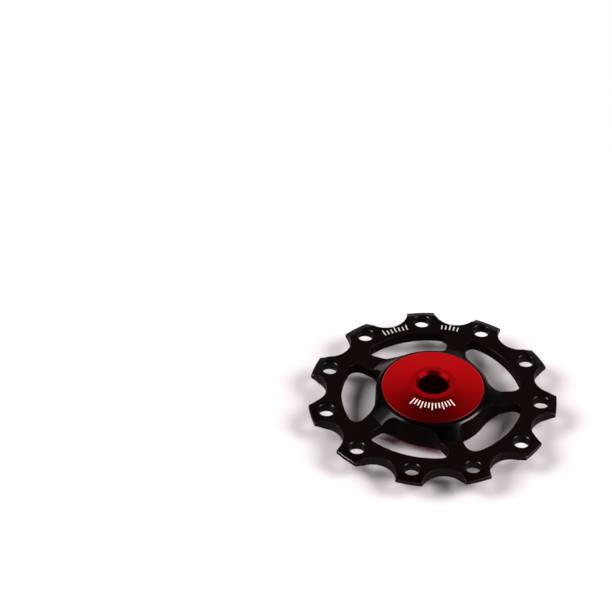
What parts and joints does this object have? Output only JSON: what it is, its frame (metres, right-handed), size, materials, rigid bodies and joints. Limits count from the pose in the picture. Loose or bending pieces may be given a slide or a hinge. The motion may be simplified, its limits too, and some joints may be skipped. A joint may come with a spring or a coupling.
{
  "type": "derailleur jockey wheel",
  "caption": "Toothed aluminium jockey wheel with holes in its teeth, open windows between spokes and a sealed ball bearing between two turned red covers; guides a bicycle chain.",
  "frame": {"origin": "on the axle, halfway through the toothed plate", "axes": "+Z along the axle, out of the upper cover; +X through the middle of one tooth"},
  "size_m": [0.0435, 0.0438, 0.008],
  "materials": {
    "black_anodised": "satin black anodised, milled and turned",
    "red_anodised": "glossy red anodised, turned",
    "bearing_steel": "ground",
    "ceramic": "polished ceramic",
    "cage_polymer": "moulded",
    "seal_rubber": "moulded"
  },
  "bodies": {
    "covers": {"upper_cap": "red_anodised", "lower_cap": "red_anodised", "bearing_inner_ring": "bearing_steel"},
    "wheel": {"toothed_wheel": "black_anodised", "bearing_outer_ring": "bearing_steel", "upper_seal": "seal_rubber", "lower_seal": "seal_rubber"},
    "cage": {"ball_cage": "cage_polymer"},
    "ball_1": {"ball_1": "ceramic"},
    "ball_2": {"ball_2": "ceramic"},
    "ball_3": {"ball_3": "ceramic"},
    "ball_4": {"ball_4": "ceramic"},
    "ball_5": {"ball_5": "ceramic"},
    "ball_6": {"ball_6": "ceramic"},
    "ball_7": {"ball_7": "ceramic"},
    "ball_8": {"ball_8": "ceramic"},
    "ball_9": {"ball_9": "ceramic"},
    "ball_10": {"ball_10": "ceramic"},
    "ball_11": {"ball_11": "ceramic"}
  },
  "joints": [
    {"name": "wheel_spin", "type": "hinge", "parent": "covers", "child": "wheel", "pos_m": [0, 0, 0], "axis": [0, 0, 1], "continuous": true},
    {"name": "cage_spin", "type": "hinge", "parent": "covers", "child": "cage", "pos_m": [0, 0, 0], "axis": [0, 0, 1], "continuous": true},
    {"name": "ball_1_spin", "type": "hinge", "parent": "cage", "child": "ball_1", "pos_m": [0.006, 0, 0], "axis": [0, 0, 1], "continuous": true},
    {"name": "ball_2_spin", "type": "hinge", "parent": "cage", "child": "ball_2", "pos_m": [0.00505, 0.00324, 0], "axis": [0, 0, 1], "continuous": true},
    {"name": "ball_3_spin", "type": "hinge", "parent": "cage", "child": "ball_3", "pos_m": [0.00249, 0.00546, 0], "axis": [0, 0, 1], "continuous": true},
    {"name": "ball_4_spin", "type": "hinge", "parent": "cage", "child": "ball_4", "pos_m": [-0.00085, 0.00594, 0], "axis": [0, 0, 1], "continuous": true},
    {"name": "ball_5_spin", "type": "hinge", "parent": "cage", "child": "ball_5", "pos_m": [-0.00393, 0.00453, 0], "axis": [0, 0, 1], "continuous": true},
    {"name": "ball_6_spin", "type": "hinge", "parent": "cage", "child": "ball_6", "pos_m": [-0.00576, 0.00169, 0], "axis": [0, 0, 1], "continuous": true},
    {"name": "ball_7_spin", "type": "hinge", "parent": "cage", "child": "ball_7", "pos_m": [-0.00576, -0.00169, 0], "axis": [0, 0, 1], "continuous": true},
    {"name": "ball_8_spin", "type": "hinge", "parent": "cage", "child": "ball_8", "pos_m": [-0.00393, -0.00453, 0], "axis": [0, 0, 1], "continuous": true},
    {"name": "ball_9_spin", "type": "hinge", "parent": "cage", "child": "ball_9", "pos_m": [-0.00085, -0.00594, 0], "axis": [0, 0, 1], "continuous": true},
    {"name": "ball_10_spin", "type": "hinge", "parent": "cage", "child": "ball_10", "pos_m": [0.00249, -0.00546, 0], "axis": [0, 0, 1], "continuous": true},
    {"name": "ball_11_spin", "type": "hinge", "parent": "cage", "child": "ball_11", "pos_m": [0.00505, -0.00324, 0], "axis": [0, 0, 1], "continuous": true}
  ],
  "couplings": [
    {"joint": "cage_spin", "follows": "wheel_spin", "ratio": 0.58333},
    {"joint": "ball_1_spin", "follows": "wheel_spin", "ratio": 2.9167},
    {"joint": "ball_2_spin", "follows": "wheel_spin", "ratio": 2.9167},
    {"joint": "ball_3_spin", "follows": "wheel_spin", "ratio": 2.9167},
    {"joint": "ball_4_spin", "follows": "wheel_spin", "ratio": 2.9167},
    {"joint": "ball_5_spin", "follows": "wheel_spin", "ratio": 2.9167},
    {"joint": "ball_6_spin", "follows": "wheel_spin", "ratio": 2.9167},
    {"joint": "ball_7_spin", "follows": "wheel_spin", "ratio": 2.9167},
    {"joint": "ball_8_spin", "follows": "wheel_spin", "ratio": 2.9167},
    {"joint": "ball_9_spin", "follows": "wheel_spin", "ratio": 2.9167},
    {"joint": "ball_10_spin", "follows": "wheel_spin", "ratio": 2.9167},
    {"joint": "ball_11_spin", "follows": "wheel_spin", "ratio": 2.9167}
  ]
}
